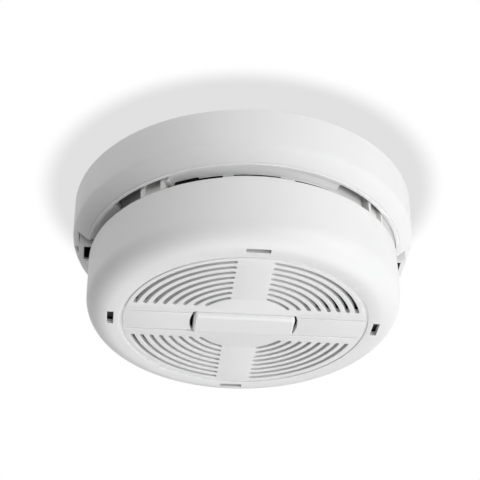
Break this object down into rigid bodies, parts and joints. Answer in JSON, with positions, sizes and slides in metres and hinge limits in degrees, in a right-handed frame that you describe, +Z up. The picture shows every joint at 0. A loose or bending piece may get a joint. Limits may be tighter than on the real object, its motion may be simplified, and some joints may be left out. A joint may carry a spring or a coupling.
{
  "type": "smoke detector",
  "caption": "Round white ceiling smoke alarm with a ring-slotted grille and a central test button, twist-locked onto a surface mounting base.",
  "frame": {"origin": "middle of the mounting base's ceiling face", "axes": "+Z up into the ceiling along the alarm's axis, so the alarm hangs towards -Z; X along the grille's plain cross bar, through the two side lugs; -Y is the side seen in front"},
  "size_m": [0.15, 0.15, 0.0587],
  "materials": {
    "white_shell": "fine satin moulded plastic",
    "white_base": "fine satin moulded plastic",
    "white_button": "fine satin moulded plastic",
    "chassis_plastic": "plain moulded plastic",
    "terminal_plastic": "moulded, slightly glossy",
    "clamp_plastic": "plain moulded plastic",
    "zinc_screw": "zinc plated",
    "terminal_brass": "plain brass",
    "carrier_plastic": "plain moulded plastic",
    "board_laminate": "glass fibre laminate with green lacquer",
    "chamber_plastic": "plain moulded plastic",
    "source_metal": "turned",
    "collector_steel": "punched sheet",
    "can_steel": "drawn tinned sheet",
    "horn_plastic": "plain moulded plastic",
    "diaphragm_brass": "rolled sheet",
    "core_steel": "varnished laminations",
    "winding_tape": "wrapped tape",
    "capacitor_box": "glossy moulded box",
    "capacitor_sleeve": "shrunk sleeve",
    "varistor_lacquer": "dipped lacquer",
    "chip_epoxy": "moulded epoxy",
    "spacer_plastic": "plain moulded plastic",
    "led_lens": "clear moulded resin",
    "fuse_glass": "clear tube with metal ends",
    "clip_steel": "tinned spring sheet",
    "switch_plastic": "plain moulded plastic",
    "plunger_plastic": "plain moulded plastic",
    "battery_case": "printed metal jacket, no lettering",
    "terminal_nickel": "nickel plated",
    "connector_plastic": "flexible moulded plate",
    "spring_steel": "drawn wire"
  },
  "bodies": {
    "base": {"surface_base": "white_base", "mounting_bracket": "white_base", "bracket_screws": "zinc_screw", "terminal_block": "terminal_plastic", "terminal_screws": "zinc_screw", "supply_contacts": "terminal_brass", "cable_clamp": "clamp_plastic", "clamp_screws": "zinc_screw"},
    "alarm_head": {"front_cover": "white_shell", "rear_chassis": "chassis_plastic", "chassis_screws": "zinc_screw", "contact_carrier": "carrier_plastic", "supply_blades": "terminal_brass", "circuit_board": "board_laminate", "board_screws": "zinc_screw", "chamber_base": "chamber_plastic", "source_holder": "source_metal", "collector_plate": "collector_steel", "chamber_can": "can_steel", "horn_base": "horn_plastic", "horn_diaphragm": "diaphragm_brass", "horn_cap": "horn_plastic", "transformer_core": "core_steel", "transformer_winding": "winding_tape", "film_capacitor": "capacitor_box", "reservoir_capacitors": "capacitor_sleeve", "varistor": "varistor_lacquer", "control_chip": "chip_epoxy", "led_standoffs": "spacer_plastic", "indicator_leds": "led_lens", "fuse": "fuse_glass", "fuse_clips": "clip_steel", "test_switch": "switch_plastic", "switch_plunger": "plunger_plastic", "backup_battery": "battery_case", "battery_terminals": "terminal_nickel", "battery_connector": "connector_plastic", "button_spring": "spring_steel"},
    "push_button": {"test_button": "white_button"}
  },
  "joints": [
    {"name": "head_twist", "type": "hinge", "parent": "base", "child": "alarm_head", "pos_m": [0, 0, 0], "axis": [0, 0, -1], "range_deg": [0, 14]},
    {"name": "button_press", "type": "slide", "parent": "alarm_head", "child": "push_button", "axis": [0, 0, 1], "range_m": [0, 0.0015], "stiffness_N_per_m": 600, "springref_m": -0.002, "deforming": ["button_spring"]}
  ]
}
